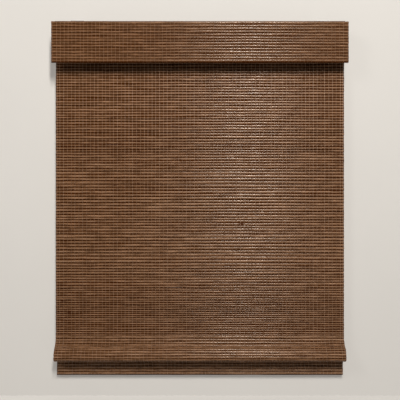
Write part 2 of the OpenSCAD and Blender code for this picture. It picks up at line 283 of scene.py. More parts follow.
class Tree:
    """Adds nodes to one shader tree and wires them."""

    def __init__(self, tree: bpy.types.NodeTree) -> None:
        """Takes the tree to work on."""
        self.tree = tree

    def add(self, kind: str, **settings: object) -> bpy.types.Node:
        """Adds a node.

        Args:
            kind: The node's type, without its ShaderNode prefix.
            settings: Properties of the node.

        Returns:
            The new node.
        """
        node = self.tree.nodes.new("ShaderNode" + kind)
        for name, value in settings.items():
            setattr(node, name, value)
        return node

    def wire(self, source: object, target: bpy.types.NodeSocket) -> None:
        """Feeds a socket.

        Args:
            source: The socket to link to it, or a plain value to set it to.
            target: The socket.
        """
        if isinstance(source, bpy.types.NodeSocket):
            self.tree.links.new(source, target)
        else:
            target.default_value = source

    def feed(self, node: bpy.types.Node, values: dict[str | int, object]) -> None:
        """Feeds sockets of a node, by their names or numbers."""
        for key, value in values.items():
            self.wire(value, node.inputs[key])

    def maths(self, operation: str, first: object, second: object) -> bpy.types.NodeSocket:
        """Adds a Math node.

        Args:
            operation: What it does.
            first: Its first value.
            second: Its second value.

        Returns:
            Its result.
        """
        node = self.add("Math", operation=operation)
        self.feed(node, {0: first, 1: second})
        return node.outputs[0]

    def swing(self, value: object, share: float) -> bpy.types.NodeSocket:
        """Turns a value about one half into a scaled one about nought."""
        return self.maths("MULTIPLY", self.maths("SUBTRACT", value, 0.5), share)

    def ramp(self, value: object, span: Range, to: Range = UNIT) -> bpy.types.NodeSocket:
        """Maps a range of values to another, clamped at both ends.

        Args:
            value: The value.
            span: The range that it is read over.
            to: The range that it is mapped to.

        Returns:
            The mapped value.
        """
        node = self.add("MapRange")
        self.feed(node, dict(enumerate((value, *span, *to))))
        return node.outputs[0]

    def blend(self, share: object, first: object, second: object,
              mode: str = "MIX") -> bpy.types.NodeSocket:
        """Mixes two colours.

        Args:
            share: The share of the second colour.
            first: The first colour.
            second: The second colour.
            mode: How they are mixed.

        Returns:
            The mixed colour.
        """
        node = self.add("Mix", data_type="RGBA", blend_type=mode)
        self.feed(node, {"Factor": share, MIX_FIRST: first, MIX_SECOND: second})
        return node.outputs[MIX_RESULT]

    def tones(self, share: object, colour: Colour, shades: Range) -> bpy.types.NodeSocket:
        """Mixes two shades of one colour."""
        return self.blend(share, *(shaded(colour, shade) for shade in shades))

    def noise(self, vector: object, scale: object, detail: float,
              rough: float) -> bpy.types.NodeSocket:
        """Adds a noise texture.

        Args:
            vector: The coordinates that it reads.
            scale: Its scale.
            detail: How many finer layers it has.
            rough: How strong the finer layers are.

        Returns:
            Its value.
        """
        node = self.add("TexNoise")
        self.feed(node, {"Vector": vector, "Scale": scale, "Detail": detail, "Roughness": rough})
        return node.outputs["Fac"]

    def stretched(self, factors: Triple, shift: Triple = UNMOVED) -> bpy.types.NodeSocket:
        """Multiplies Object coordinates axis by axis.

        Args:
            factors: A factor for each axis.
            shift: What is added afterwards.

        Returns:
            The coordinates.
        """
        node = self.add("Mapping", vector_type="POINT")
        self.feed(node, {"Vector": self.add("TexCoord").outputs["Object"], "Location": shift,
                         "Scale": factors})
        return node.outputs["Vector"]

    def attribute(self, name: str) -> bpy.types.NodeSocket:
        """Returns a number that is stored at the mesh's points."""
        return self.add("Attribute", attribute_name=name).outputs["Fac"]

    def bump(self, height: object, distance: float, strength: float) -> bpy.types.NodeSocket:
        """Adds a Bump node.

        Args:
            height: The height that it reads.
            distance: How high the bumps are.
            strength: How much they show.

        Returns:
            Its normal.
        """
        node = self.add("Bump")
        self.feed(node, {"Height": height, "Distance": distance, "Strength": strength})
        return node.outputs["Normal"]

    def put_out(self, output: str, share: object, first: bpy.types.Node,
                second: bpy.types.Node) -> None:
        """Sends a mix of two shaders to the tree's output.

        Args:
            output: The output node's name.
            share: The share of the second shader.
            first: The first shader.
            second: The second shader.
        """
        mix = self.add("MixShader")
        self.feed(mix, {0: share, 1: first.outputs[0], 2: second.outputs[0]})
        self.wire(mix.outputs[0], self.tree.nodes[output].inputs["Surface"])


class Surface(Tree):
    """The tree of a new material, with its Principled shader."""

    def __init__(self, name: str) -> None:
        """Makes the material.

        Args:
            name: Its name.
        """
        self.material = bpy.data.materials.new(name)
        self.material.use_nodes = True
        super().__init__(self.material.node_tree)
        self.shader = self.tree.nodes["Principled BSDF"]

    def fix(self, values: dict[str, object]) -> None:
        """Sets what is the same all over the surface, by the names of the shader's sockets."""
        for name, value in values.items():
            self.shader.inputs[name].default_value = value

    def coat(self, colour: object, roughness: object, normal: object) -> None:
        """Wires the colour, roughness and bumped normal that change over the surface."""
        self.feed(self.shader, {"Base Color": colour, "Roughness": roughness, "Normal": normal})


@dataclass(frozen=True)
class Layer:
    """One noise of a shared effect, and the span of it that is drawn out to nought and one."""

    output: str
    scale: float
    detail: float
    rough: float
    span: Range | None = None


class Effect(Enum):
    """Effects that several finishes share, each built once as a shader node group.

    GRAIN has long fibres and the streaks between them. MOTTLE has the soft, uneven tone and the
    specks that handling and moulding leave.
    """

    GRAIN = (Layer("Grain", 1.0, 3.0, 0.65), Layer("Streak", 0.23, 2.0, 0.5, (0.32, 0.68)))
    MOTTLE = (Layer("Tone", 1.0, 3.0, 0.55, (0.3, 0.7)), Layer("Speckle", 24.0, 2.0, 0.6))

    def group(self) -> bpy.types.NodeTree:
        """Builds the effect's node group, or finds it if it has been built.

        Returns:
            The group.
        """
        label = f"{self.name.lower()}_effect"
        if label in bpy.data.node_groups:
            return bpy.data.node_groups[label]
        group = bpy.data.node_groups.new(label, "ShaderNodeTree")
        number = "NodeSocketFloat"
        group.interface.new_socket("Vector", in_out="INPUT", socket_type="NodeSocketVector")
        group.interface.new_socket("Scale", in_out="INPUT", socket_type=number)
        for layer in self.value:
            group.interface.new_socket(layer.output, in_out="OUTPUT", socket_type=number)
        tree = Tree(group)
        start = group.nodes.new("NodeGroupInput")
        end = group.nodes.new("NodeGroupOutput")
        for layer in self.value:
            scale = tree.maths("MULTIPLY", start.outputs["Scale"], layer.scale)
            noise = tree.noise(start.outputs["Vector"], scale, layer.detail, layer.rough)
            value = tree.ramp(noise, layer.span) if layer.span else noise
            tree.wire(value, end.inputs[layer.output])
        return group

    def place(self, tree: Tree, scale: float, stretch: Triple = EVEN) -> bpy.types.NodeOutputs:
        """Places the effect in a material.

        Args:
            tree: The material's tree.
            scale: The scale of the effect.
            stretch: A factor for each axis of the Object coordinates that it reads.

        Returns:
            The outputs of its node.
        """
        node = tree.add("Group", node_tree=self.group())
        tree.feed(node, {"Vector": tree.stretched(stretch), "Scale": scale})
        return node.outputs


# Finishes


class Finish:
    """A finish, which makes a material by dressing a new surface."""

    def material(self, name: str) -> bpy.types.Material:
        """Makes the finish's material.

        Args:
            name: The material's name.

        Returns:
            The material.
        """
        surface = Surface(name)
        self.dress(surface)
        return surface.material

    def dress(self, surface: Surface) -> None:
        """Wires the finish to a surface, which each kind of finish does in its own way."""
        raise NotImplementedError


@dataclass(frozen=True)
class BambooFinish(Finish):
    """Stained and varnished bamboo, with painted shade towards each reed's edges and a painted
    sheen on its crest.
    """

    light: Colour = (0.280, 0.138, 0.063)
    dark: Colour = (0.130, 0.058, 0.023)
    # Near black: the real stained specks and the knot, and painted shade at the reeds' edges.
    stain_and_shade: Colour = (0.060, 0.0135, 0.0010)
    edge_shade: Range = (0.72, 1.0)
    # A lighter, greyer colour painted on each reed's crest as a painted sheen.
    painted_sheen: Colour = (0.420, 0.305, 0.225)
    sheen_share: float = 0.75
    sheen_crest: float = 0.6
    gloss: Colour = (1.0, 0.88, 0.78)
    gloss_edge: Range = (0.65, 0.95)
    specular: float = 0.34
    edge_specular: float = 0.02
    roughness: Range = (0.19, 0.31)
    rough_span: Range = (0.38, 0.66)
    rough_edge: Range = (0.75, 1.0)
    edge_roughness: float = 0.8
    fibre_scale: float = 900.0
    fibre_stretch: Triple = (0.14, 1.0, 1.0)
    fibre_shades: Range = (0.78, 1.20)
    streak_shades: Range = (0.76, 1.22)
    patch_scale: float = 190.0
    patch_stretch: Triple = (0.12, 1.0, 1.0)
    patch_shades: Range = (0.80, 1.20)
    shade_span: Range = (0.25, 0.75)
    cloud_scale: float = 14.0
    cloud_share: float = 0.2
    speck_stretch: Triple = (45.0, 160.0, 160.0)
    speck_rough: float = 0.4
    speck_span: Range = (0.70, 0.78)
    speck_stain: float = 0.8
    knot_place: Triple = (0.129, 0.023, -0.6243)
    knot_reach: Triple = (0.013, 0.040, 0.0060)
    knot_span: Range = (0.35, 1.0)
    knot_stain: float = 0.95
    bump_height: float = 0.15 * MM
    bump_strength: float = 0.15

    def dress(self, surface: Surface) -> None:
        """Wires the stained colour, the varnish and the fibres to a surface.

        Args:
            surface: The surface.
        """
        fibres = Effect.GRAIN.place(surface, self.fibre_scale, self.fibre_stretch)
        patches = Effect.GRAIN.place(surface, self.patch_scale, self.patch_stretch)
        clouds = Effect.MOTTLE.place(surface, self.cloud_scale)
        across = surface.attribute("across")
        tone = surface.maths("ADD", surface.attribute("tone"),
                             surface.swing(clouds["Tone"], self.cloud_share))
        knot = self._knot(surface)
        sound = surface.maths("SUBTRACT", 1.0, knot)
        colour = surface.blend(surface.ramp(tone, UNIT), rgba(self.dark), rgba(self.light))
        for value, shades in ((patches["Grain"], self.patch_shades),
                              (fibres["Streak"], self.streak_shades),
                              (fibres["Grain"], self.fibre_shades)):
            shade = self._grey(surface, surface.ramp(value, self.shade_span, shades))
            colour = surface.blend(1.0, colour, shade, "MULTIPLY")
        specks = surface.noise(surface.stretched(self.speck_stretch), 1.0, 1.0, self.speck_rough)
        speck = surface.ramp(specks, self.speck_span, (0.0, self.speck_stain))
        # Painted sheen: a lighter, greyer colour on each crest, stronger on lighter reeds and
        # streaks.
        crest = surface.maths("MULTIPLY",
                              surface.ramp(across, (0.0, self.sheen_crest), (self.sheen_share, 0.0)),
                              surface.maths("MULTIPLY", tone, fibres["Streak"]))
        # Blends in the stained specks, the dark knot, the painted sheen on the crests and painted
        # shade towards the reeds' edges.
        for share, paint in ((speck, self.stain_and_shade), (knot, self.stain_and_shade),
                             (surface.maths("MULTIPLY", crest, sound), self.painted_sheen),
                             (surface.ramp(across, self.edge_shade), self.stain_and_shade)):
            colour = surface.blend(share, colour, rgba(paint))
        rough = surface.maths("MAXIMUM",
                              surface.ramp(patches["Grain"], self.rough_span, self.roughness),
                              surface.ramp(across, self.rough_edge, (0.0, self.edge_roughness)))
        gloss = surface.maths("MULTIPLY", surface.attribute("gloss"),
                              surface.ramp(across, self.gloss_edge,
                                           (self.specular, self.edge_specular)))
        surface.fix({"Specular IOR Level": self.specular, "Specular Tint": rgba(self.gloss)})
        surface.feed(surface.shader,
                     {"Specular IOR Level": surface.maths("MULTIPLY", gloss, sound)})
        surface.coat(colour, rough,
                     surface.bump(fibres["Grain"], self.bump_height, self.bump_strength))

    def _knot(self, surface: Surface) -> bpy.types.NodeSocket:
        """Masks the one large knot in the panel.

        Args:
            surface: The surface.

        Returns:
            The mask.
        """
        factors = tuple(1.0 / reach for reach in self.knot_reach)
        shift = tuple(-place / reach for place, reach in zip(self.knot_place, self.knot_reach))
        length = surface.add("VectorMath", operation="LENGTH")
        surface.feed(length, {0: surface.stretched(factors, shift)})
        return surface.ramp(length.outputs["Value"], self.knot_span, (self.knot_stain, 0.0))

    @staticmethod
    def _grey(surface: Surface, value: bpy.types.NodeSocket) -> bpy.types.NodeSocket:
        """Turns a number into a grey.

        Args:
            surface: The surface.
            value: The number.

        Returns:
            The grey.
        """
        node = surface.add("CombineColor")
        for socket in node.inputs:
            surface.wire(value, socket)
        return node.outputs["Color"]


@dataclass(frozen=True)
class YarnFinish(Finish):
    """Dyed yarn, with a fine twist, a tone for each strand and painted shade where it dips between
    the reeds.
    """

    light: Colour = (0.560, 0.355, 0.235)
    dark: Colour = (0.235, 0.117, 0.057)
    # Dark colour painted where the yarn dips between the reeds, as painted shade.
    stain_and_shade: Colour = (0.070, 0.019, 0.003)
    gloss: Colour = (1.0, 0.80, 0.62)
    roughness: float = 0.42
    rough_swing: Range = (-0.1, 0.15)
    specular: float = 0.45
    twist: Triple = (300.0, 700.0, 700.0)
    fuzz_detail: float = 2.0
    fuzz_rough: float = 0.6
    fuzz_share: float = 0.8
    fuzz_span: Range = (0.3, 0.7)
    dip_span: Range = (0.35, 0.9)
    dip_shade: float = 0.85
    bump_height: float = 0.1 * MM
    bump_strength: float = 0.4

    def dress(self, surface: Surface) -> None:
        """Wires the dyed colour and the twist to a surface.

        Args:
            surface: The surface.
        """
        fuzz = surface.noise(surface.stretched(self.twist), 1.0, self.fuzz_detail, self.fuzz_rough)
        tone = surface.maths("ADD", surface.attribute("tone"), surface.swing(fuzz, self.fuzz_share))
        colour = surface.blend(surface.ramp(tone, UNIT), rgba(self.dark), rgba(self.light))
        # Painted shade: the yarn darkens where it dips between the reeds.
        dip = surface.ramp(surface.attribute("across"), self.dip_span, (0.0, self.dip_shade))
        surface.fix({"Specular IOR Level": self.specular, "Specular Tint": rgba(self.gloss)})
        surface.coat(surface.blend(dip, colour, rgba(self.stain_and_shade)),
                     surface.ramp(fuzz, self.fuzz_span, around(self.roughness, self.rough_swing)),
                     surface.bump(fuzz, self.bump_height, self.bump_strength))


@dataclass(frozen=True)
class MouldedFinish(Finish):
    """Moulded plastic with a fine spark texture and a slightly uneven tone."""

    colour: Colour
    roughness: float = 0.5
    texture: float = 0.25
    shades: Range = (0.9, 1.06)
    rough_swing: Range = (-0.08, 0.1)
    mottle_scale: float = 120.0
    speckle_span: Range = (0.3, 0.7)
    bump_height: float = 0.05 * MM

    def dress(self, surface: Surface) -> None:
        """Wires the plastic's tone and texture to a surface.

        Args:
            surface: The surface.
        """
        mottle = Effect.MOTTLE.place(surface, self.mottle_scale)
        surface.coat(surface.tones(mottle["Tone"], self.colour, self.shades),
                     surface.ramp(mottle["Speckle"], self.speckle_span,
                                  around(self.roughness, self.rough_swing)),
                     surface.bump(mottle["Speckle"], self.bump_height, self.texture))


@dataclass(frozen=True)
class PaintFinish(Finish):
    """Powder coat on metal, with its faint orange peel."""

    colour: Colour
    roughness: float = 0.42
    shades: Range = (0.93, 1.05)
    rough_swing: Range = (0.0, 0.12)
    mottle_scale: float = 60.0
    mottle_stretch: Triple = (0.4, 1.0, 1.0)
    peel_height: float = 0.08 * MM
    peel_strength: float = 0.3

    def dress(self, surface: Surface) -> None:
        """Wires the coat's tone and peel to a surface.

        Args:
            surface: The surface.
        """
        mottle = Effect.MOTTLE.place(surface, self.mottle_scale, self.mottle_stretch)
        surface.coat(surface.tones(mottle["Tone"], self.colour, self.shades),
                     surface.ramp(mottle["Tone"], UNIT, around(self.roughness, self.rough_swing)),
                     surface.bump(mottle["Speckle"], self.peel_height, self.peel_strength))


@dataclass(frozen=True)
class MetalFinish(Finish):
    """Bare metal with fine draw lines and a little dulling."""

    colour: Colour
    brush: BrushAxis = BrushAxis.ALONG_X
    roughness: float = 0.32
    rough_swing: Range = (0.0, 0.18)
    line_shades: Range = (0.82, 1.1)
    line_scale: float = 60.0
    line_height: float = 0.03 * MM
    line_strength: float = 0.3
    dull_shade: float = 0.7
    dull_share: float = 0.35
    dull_scale: float = 45.0

    def dress(self, surface: Surface) -> None:
        """Wires the draw lines and the dulling to a surface.

        Args:
            surface: The surface.
        """
        lines = Effect.GRAIN.place(surface, self.line_scale, self.brush.value)
        mottle = Effect.MOTTLE.place(surface, self.dull_scale)
        dull = surface.ramp(mottle["Tone"], UNIT, (0.0, self.dull_share))
        bright = surface.tones(lines["Grain"], self.colour, self.line_shades)
        surface.fix({"Metallic": 1.0})
        surface.coat(surface.blend(dull, bright, shaded(self.colour, self.dull_shade)),
                     surface.ramp(mottle["Tone"], UNIT, around(self.roughness, self.rough_swing)),
                     surface.bump(lines["Grain"], self.line_height, self.line_strength))


@dataclass(frozen=True)
class TapeFinish(Finish):
    """Hook or loop tape: rows of stiff hooks, or a tangled pile."""

    colour: Colour
    face: TapeFace
    shades: Range = (0.6, 1.1)
    roughness: Range = (0.9, 0.65)
    hook_scale: float = 900.0
    hook_spread: float = 0.35
    hook_reach: float = 0.6
    loop_scale: float = 1400.0
    loop_detail: float = 4.0
    loop_rough: float = 0.7
    pile_height: float = 0.4 * MM
    pile_strength: float = 0.6

    def dress(self, surface: Surface) -> None:
        """Wires the hooks or the pile to a surface.

        Args:
            surface: The surface.
        """
        place = surface.stretched(EVEN)
        if self.face is TapeFace.HOOK:
            cells = surface.add("TexVoronoi", feature="F1")
            surface.feed(cells, {"Vector": place, "Scale": self.hook_scale,
                                 "Randomness": self.hook_spread})
            height = surface.ramp(cells.outputs["Distance"], (0.0, self.hook_reach), (1.0, 0.0))
        else:
            height = surface.noise(place, self.loop_scale, self.loop_detail, self.loop_rough)
        # Painted shade: darker at the low points between the hooks and in the pile.
        surface.coat(surface.tones(height, self.colour, self.shades),
                     surface.ramp(height, UNIT, self.roughness),
                     surface.bump(height, self.pile_height, self.pile_strength))


@dataclass(frozen=True)
class StageFinish(Finish):
    """Plain pale card that shows its front alone and sends little light back."""

    colour: Colour
    shades: Range = (0.985, 1.01)
    mottle_scale: float = 3.0
    bounce: float = 0.55
    glow: float = 0.34
    roughness: float = 0.9
    specular: float = 0.1

    def dress(self, surface: Surface) -> None:
        """Wires the card's tone, its glow and its open back to a surface.

        Args:
            surface: The surface.
        """
        mottle = Effect.MOTTLE.place(surface, self.mottle_scale)
        tone = surface.tones(mottle["Tone"], self.colour, self.shades)
        rays = surface.add("LightPath").outputs
        surface.fix({"Roughness": self.roughness, "Specular IOR Level": self.specular,
                     "Emission Color": rgba(self.colour)})
        surface.feed(surface.shader, {
            "Base Color": surface.blend(rays["Is Diffuse Ray"], tone,
                                        shaded(self.colour, self.bounce)),
            "Emission Strength": surface.maths("MULTIPLY", rays["Is Camera Ray"], self.glow)})
        behind = surface.add("NewGeometry").outputs["Backfacing"]
        surface.put_out("Material Output", surface.maths("MAXIMUM", behind, rays["Is Shadow Ray"]),
                        surface.shader, surface.add("BsdfTransparent"))


@dataclass
class Palette:
    """The materials of the whole shade, made once from their finishes."""

    reeds: bpy.types.Material = field(init=False)
    laths: bpy.types.Material = field(init=False)
    yarns: bpy.types.Material = field(init=False)
    nodes: dict[str, bpy.types.Material] = field(init=False)

    def __post_init__(self) -> None:
        """Makes every material."""
        self.reeds = BambooFinish().material("stained_bamboo")
        # The laths' near-black finish is painted shade behind the gaps between the reeds.
        self.laths = YarnFinish(light=(0.062, 0.0145, 0.001), dark=(0.030, 0.007, 0.0005),
                                stain_and_shade=(0.030, 0.007, 0.0005), roughness=0.85,
                                specular=0.03).material("dark_lath")
        self.yarns = YarnFinish().material("warp_yarn")
        cream = MouldedFinish((0.78, 0.75, 0.68), 0.45).material("cream_plastic")
        brass = MetalFinish((0.62, 0.45, 0.20), roughness=0.34).material("dull_brass")
        graphite = MouldedFinish((0.055, 0.055, 0.058), 0.55, 0.4).material("graphite_plastic")
        natural = MouldedFinish((0.72, 0.70, 0.64), 0.55).material("natural_plastic")
        spring = MetalFinish((0.30, 0.31, 0.34), BrushAxis.ROUND_X, 0.28).material("spring_steel")
        self.nodes = {
            "headrail": PaintFinish((0.150, 0.082, 0.047)).material("brown_powder_coat"),
            "end_cap": MouldedFinish((0.120, 0.066, 0.038), 0.5, 0.35).material("brown_plastic"),
            "bracket": MetalFinish((0.46, 0.46, 0.46), roughness=0.5).material("zinc_plate"),
            "hook_tape": TapeFinish((0.62, 0.58, 0.50), TapeFace.HOOK).material("hook_tape"),
            "loop_tape": TapeFinish((0.50, 0.44, 0.35), TapeFace.LOOP).material("loop_tape"),
            "lift_shaft": MetalFinish((0.56, 0.56, 0.57)).material("drawn_steel"),
            "shaft_bush": cream, "cord_drum": cream, "motor_arbor": cream,
            "drum_cradle": natural, "cord_guides": natural,
            "motor_housing": graphite, "motor_cover": graphite, "motor_spring": spring,
            "cord_eyelets": brass, "hem_cord_eyes": brass,
            "ring_row": MouldedFinish((0.80, 0.78, 0.72), 0.22, 0.05).material("ring_plastic"),
            "hem_bar": MetalFinish((0.60, 0.60, 0.61), roughness=0.4).material("mill_aluminium"),
        }

    def for_node(self, node: str) -> bpy.types.Material:
        """Returns the material of a CAD node, by the longest key that its name holds."""
        keys = [key for key in self.nodes if key in node]
        return self.nodes[max(keys, key=len)]


# Woven mats


@dataclass(frozen=True)
class PathPoint:
    """A place on a mat's path, and the direction in which the path goes on."""

    y: float
    z: float
    heading: float

    def offset(self, along: np.ndarray | float, across: np.ndarray | float) -> tuple:
        """Returns y and z at a distance along the heading and one across it."""
        return (self.y + along * math.cos(self.heading) - across * math.sin(self.heading),
                self.z + along * math.sin(self.heading) + across * math.cos(self.heading))

    def advance(self, length: float, turn: float) -> PathPoint:
        """Follows a straight line or an arc from here.

        Args:
            length: Its length.
            turn: How far the heading turns over that length.

        Returns:
            Its end.
        """
        if abs(turn) < STRAIGHT:
            return PathPoint(*self.offset(length, 0.0), self.heading)
        radius = length / turn
        heading = self.heading + turn
        return PathPoint(self.y + radius * (math.sin(heading) - math.sin(self.heading)),
                         self.z - radius * (math.cos(heading) - math.cos(self.heading)), heading)


@dataclass(frozen=True)
class Stretch:
    """A straight or evenly curved length of a mat's path."""

    length: float
    turn: float = 0.0

    @staticmethod
    def arc(radius: float, degrees: float) -> Stretch:
        """Makes a curved stretch; a positive turn goes from down towards the window."""
        turn = math.radians(degrees)
        return Stretch(radius * abs(turn), turn)


@dataclass(frozen=True)
class MatPath:
    """The course of a mat in the Y-Z plane, followed from its first edge."""

    start: PathPoint
    stretches: tuple[Stretch, ...]

    @property
    def length(self) -> float:
        """The whole length of the path."""
        return sum(stretch.length for stretch in self.stretches)

    def at(self, along: float) -> PathPoint:
        """Finds a place on the path.

        Args:
            along: Its distance from the first edge.

        Returns:
            The place.
        """
        place = self.start
        for stretch in self.stretches[:-1]:
            if along <= stretch.length:
                return place.advance(along, stretch.turn * along / stretch.length)
            place = place.advance(stretch.length, stretch.turn)
            along -= stretch.length
        last = self.stretches[-1]
        return place.advance(along, last.turn * along / last.length)


@dataclass(frozen=True)
class Slot:
    """The room that one reed has on the loom: its middle along the mat, its step and its gap."""

    middle: float
    step: float
    gap: float

    @property
    def start(self) -> float:
        """The middle of the gap before the reed."""
        return self.middle - self.step / 2

    @property
    def end(self) -> float:
        """The middle of the gap after the reed."""
        return self.middle + self.step / 2

    def shifted(self, length: float) -> Slot:
        """Moves the reed along the mat."""
        return Slot(self.middle + length, self.step, self.gap)


@dataclass(frozen=True)
class WeaveSizes:
    """Sizes of the reeds, the thin laths that paint shade behind their gaps and the warp yarns over
    them.
    """

    pitch: float = 8.7 * MM
    gap: float = 2.5 * MM
    fold_gap: float = 1.6 * MM
    reed_depth: float = 2.2 * MM
    reed_widths: Range = (0.92, 1.08)
    reed_depths: Range = (0.9, 1.1)
    crown: float = 1.62
    swell: float = 0.07
    lath_depth: float = 0.9 * MM
    lath_lap: float = 1.6 * MM
    lath_back: float = 0.35 * MM
    yarn: float = 1.1 * MM
    yarn_flat: float = 1.6
    yarn_rise: float = 0.3
    yarn_dip: float = 0.55 * MM
    # Yarn tone across the width, darker at the left edge and lighter to the right: painted light
    # set against the side light and the sheen.
    yarn_from: Triple = (-0.65, 0.0, 0.7)
    yarn_share: Triple = (0.46, 0.64, 0.72)
    yarn_shades: Range = (0.6, 1.4)
    yarn_pitch: float = 12.0 * MM
    yarn_stray: float = 0.5 * MM
    yarn_sway: Range = (0.2 * MM, 0.7 * MM)
    yarn_waves: float = 9.0
    selvage: float = 4.0 * MM
    wander: float = 0.5 * MM
    wander_waves: tuple[tuple[float, float], ...] = ((1.7, 0.8), (4.3, 0.7), (9.0, 0.5))
    wander_lengths: Range = (0.8, 1.25)
    wander_shares: Range = (0.4, 1.0)
    wander_depth: float = 0.25
    end_jitter: float = 0.5 * MM
    uneven: float = 0.07
    uneven_share: float = 0.5
    uneven_memory: float = 0.8
    tight_step: float = 0.89
    tone_spread: float = 0.11
    tone_drift: float = 0.14

    def slots(self, length: float, count: int, seed: int, gap: float,
              tight: float = 0.0) -> list[Slot]:
        """Spreads whole reeds over a length, unevenly as on a loom.

        Args:
            length: The length from the first reed's edge to the last one's.
            count: The number of reeds.
            seed: The seed of the uneven steps.
            gap: The open width between two reeds.
            tight: The share of the reeds, from the last one back, that lie closer together.

        Returns:
            The place of each reed along the length.
        """
        rng = random.Random(f"{seed} slots")
        slow = 0.0
        steps = []
        for index in range(count):
            slow = self.uneven_memory * slow + rng.gauss(0.0, self.uneven_share) * self.uneven
            beaten = self.tight_step if index >= count * (1.0 - tight) else 1.0
            steps.append(beaten * (1.0 + slow + rng.gauss(0.0, self.uneven_share) * self.uneven))
        scale = (length + gap) / sum(steps)
        slots, along = [], -gap / 2
        for step in steps:
            slots.append(Slot(along + step * scale / 2, step * scale, gap))
            along += step * scale
        return slots


@dataclass
class ReedMat:
    """A stretch of reeds, laths painted as shade behind the gaps, and warp yarns woven along a
    path.
    """

    body: str
    path: MatPath
    width: float
    slots: list[Slot]
    tones: list[float]
    yarn_tones: list[float]
    glosses: list[float]
    seed: int
    sizes: WeaveSizes = field(default_factory=WeaveSizes)
    seam_lath: bool = False
    reed_sides: int = 12
    reed_cuts: int = 27
    lath_sides: int = 6
    lath_cuts: int = 11
    pieces: list[bpy.types.Object] = field(default_factory=list)

    def _rod(self, sides: int, cuts: int) -> bpy.types.Object:
        """Models a rod of unit size along X, cut across so that its copies can wander.

        Args:
            sides: The number of sides of its section.
            cuts: The number of cuts across it.

        Returns:
            The rod.
        """
        deselect_all()
        bpy.ops.mesh.primitive_cylinder_add(vertices=sides, radius=1.0, depth=ROD_LENGTH,
                                            rotation=(0.0, QUARTER_TURN, 0.0))
        rod = settled()
        select_none("EDGE")
        points = rod.data.vertices
        for edge in rod.data.edges:
            first, second = (points[i].co for i in edge.vertices)
            edge.select = abs(first.x - second.x) > ROD_LENGTH / 2
        bpy.ops.object.mode_set(mode="EDIT")
        bpy.ops.mesh.subdivide(number_cuts=cuts)
        bpy.ops.object.mode_set(mode="OBJECT")
        bpy.ops.object.shade_smooth_by_angle(angle=SMOOTH_ANGLE)
        return rod

    def _wander(self, x: np.ndarray, rng: random.Random) -> np.ndarray:
        """Draws how far a reed strays from its line.

        Args:
            x: The places along the reed.
            rng: The source of its small faults.

        Returns:
            How far it strays at each place.
        """
        total = np.zeros_like(x)
        for waves, share in self.sizes.wander_waves:
            phase = rng.uniform(0.0, WHOLE_TURN)
            turns = waves * rng.uniform(*self.sizes.wander_lengths)
            total += share * np.sin(phase + WHOLE_TURN * turns * x / self.width)
        return total * self.sizes.wander * rng.uniform(*self.sizes.wander_shares)

    def _lay(self, rod: bpy.types.Object, place: PathPoint, half: float, depth: float,
             back: float, tone: float, rng: random.Random) -> bpy.types.Object:
        """Copies a rod to its place in the mat.

        Args:
            rod: The rod of unit size.
            place: Where its middle lies on the path.
            half: Half of its width along the path.
            depth: Half of its depth across the mat.
            back: How far it lies behind the path.
            tone: Its tone, from dark to light.
            rng: The source of its small faults.

        Returns:
            The copy.
        """
        sizes = self.sizes
        copy = copy_of(rod)
        unit = points_of(copy)
        length = self.width + rng.uniform(-1.0, 1.0) * sizes.end_jitter
        x = unit[:, 0] * length + rng.uniform(-0.5, 0.5) * sizes.end_jitter
        swell = 1.0 + self._wander(x, rng) / sizes.wander * sizes.swell
        along = -unit[:, 2] * half * swell + self._wander(x, rng)
        crown = np.sign(unit[:, 1]) * np.abs(unit[:, 1]) ** sizes.crown
        across = crown * depth + back + self._wander(x, rng) * sizes.wander_depth
        y, z = place.offset(along, across)
        set_points(copy, np.column_stack((x, y, z)))
        drift = self._wander(x, rng) / sizes.wander * sizes.tone_drift
        set_value(copy, "tone", tone + drift)
        set_value(copy, "across", np.abs(unit[:, 2]))
        return copy

    def build_reeds(self, part: str, first: int, last: int) -> bpy.types.Object:
        """Lays the reeds of one part of the mat and joins them.

        Args:
            part: The part's name.
            first: The number of its first reed.
            last: The number after its last reed.

        Returns:
            The piece.
        """
        rng = random.Random(f"{self.seed} reeds {first}")
        rod = self._rod(self.reed_sides, self.reed_cuts)
        copies = []
        for slot, tone, gloss in list(zip(self.slots, self.tones, self.glosses))[first:last]:
            half = (slot.step - slot.gap) / 2 * rng.uniform(*self.sizes.reed_widths)
            depth = self.sizes.reed_depth / 2 * rng.uniform(*self.sizes.reed_depths)
            tone += rng.gauss(0.0, self.sizes.tone_spread)
            reed = self._lay(rod, self.path.at(slot.middle), half, depth, 0.0, tone, rng)
            set_value(reed, "gloss", gloss)
            copies.append(reed)
        discard(rod)
        return self._keep(join(copies, f"{part}_reeds"))

    def build_laths(self, part: str, first: int, last: int) -> bpy.types.Object:
        """Lays a thin lath behind each gap of one part, painted near black as shade, and joins
        them.

        Args:
            part: The part's name.
            first: The number of its first reed.
            last: The number after its last reed.

        Returns:
            The piece.
        """
        rng = random.Random(f"{self.seed} laths {first}")
        rod = self._rod(self.lath_sides, self.lath_cuts)
        places = [slot.end for slot in self.slots[first:min(last, len(self.slots) - 1)]]
        if self.seam_lath:
            places.append(0.0)
        half = self.slots[first].gap / 2 + self.sizes.lath_lap
        copies = [self._lay(rod, self.path.at(along), half, self.sizes.lath_depth / 2,
                            self.sizes.lath_back, rng.random(), rng) for along in places]
        discard(rod)
        return self._keep(join(copies, f"{part}_laths"))

    def _yarn_lines(self) -> list[float]:
        """Spaces the warp yarns evenly about the middle, with a closer one at each selvage.

        Returns:
            The x of every yarn.
        """
        edge = self.width / 2 - self.sizes.selvage
        pairs = int(edge / self.sizes.yarn_pitch - 0.5)
        right = [(i + 0.5) * self.sizes.yarn_pitch for i in range(pairs + 1)]
        right.append(edge)
        return sorted([-x for x in right] + right)

